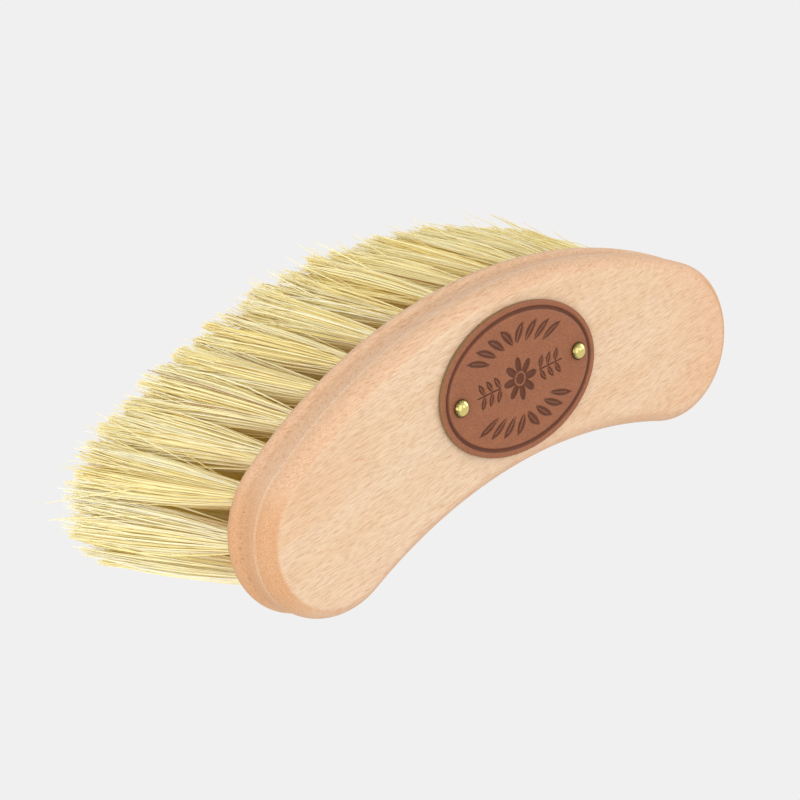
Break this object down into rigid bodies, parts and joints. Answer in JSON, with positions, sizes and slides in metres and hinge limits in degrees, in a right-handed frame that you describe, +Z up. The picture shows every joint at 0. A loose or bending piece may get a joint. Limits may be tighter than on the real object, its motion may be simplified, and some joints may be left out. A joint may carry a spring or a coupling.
{
  "type": "banana brush",
  "caption": "Curved wooden hand brush for grooming, with a moulded grip edge, fanned natural bristle tufts and an oval leather badge nailed to its back.",
  "frame": {"origin": "on the ground under the middle of the outer size, with the brush standing on its bristle tips", "axes": "+X along the brush's length, +Y to its convex side, +Z up out of its back"},
  "size_m": [0.2344, 0.078, 0.1021],
  "materials": {
    "wood": "sanded beech, satin",
    "leather": "fine grain, matt",
    "brass": "polished",
    "fibre": "natural plant fibre"
  },
  "bodies": {
    "root": {"block": "wood", "leather_badge": "leather", "nail_left": "brass", "nail_right": "brass", "tuft_concave_row_01": "fibre", "tuft_concave_row_02": "fibre", "tuft_concave_row_03": "fibre", "tuft_concave_row_04": "fibre", "tuft_concave_row_05": "fibre", "tuft_concave_row_06": "fibre", "tuft_concave_row_07": "fibre", "tuft_concave_row_08": "fibre", "tuft_concave_row_09": "fibre", "tuft_concave_row_10": "fibre", "tuft_convex_row_01": "fibre", "tuft_convex_row_02": "fibre", "tuft_convex_row_03": "fibre", "tuft_convex_row_04": "fibre", "tuft_convex_row_05": "fibre", "tuft_convex_row_06": "fibre", "tuft_convex_row_07": "fibre", "tuft_convex_row_08": "fibre", "tuft_convex_row_09": "fibre", "tuft_convex_row_10": "fibre", "tuft_left_end": "fibre", "tuft_right_end": "fibre", "tuft_ring_01": "fibre", "tuft_ring_02": "fibre", "tuft_ring_03": "fibre", "tuft_ring_04": "fibre", "tuft_ring_05": "fibre", "tuft_ring_06": "fibre", "tuft_ring_07": "fibre", "tuft_ring_08": "fibre", "tuft_ring_09": "fibre", "tuft_ring_10": "fibre", "tuft_ring_11": "fibre", "tuft_ring_12": "fibre", "tuft_ring_13": "fibre", "tuft_ring_14": "fibre", "tuft_ring_15": "fibre", "tuft_ring_16": "fibre", "tuft_ring_17": "fibre", "tuft_ring_18": "fibre", "tuft_ring_19": "fibre", "tuft_ring_20": "fibre", "tuft_ring_21": "fibre", "tuft_ring_22": "fibre", "tuft_ring_23": "fibre", "tuft_ring_24": "fibre", "tuft_ring_25": "fibre", "tuft_ring_26": "fibre", "tuft_ring_27": "fibre", "tuft_ring_28": "fibre", "tuft_ring_29": "fibre", "tuft_ring_30": "fibre", "tuft_ring_31": "fibre", "tuft_ring_32": "fibre"}
  },
  "joints": []
}
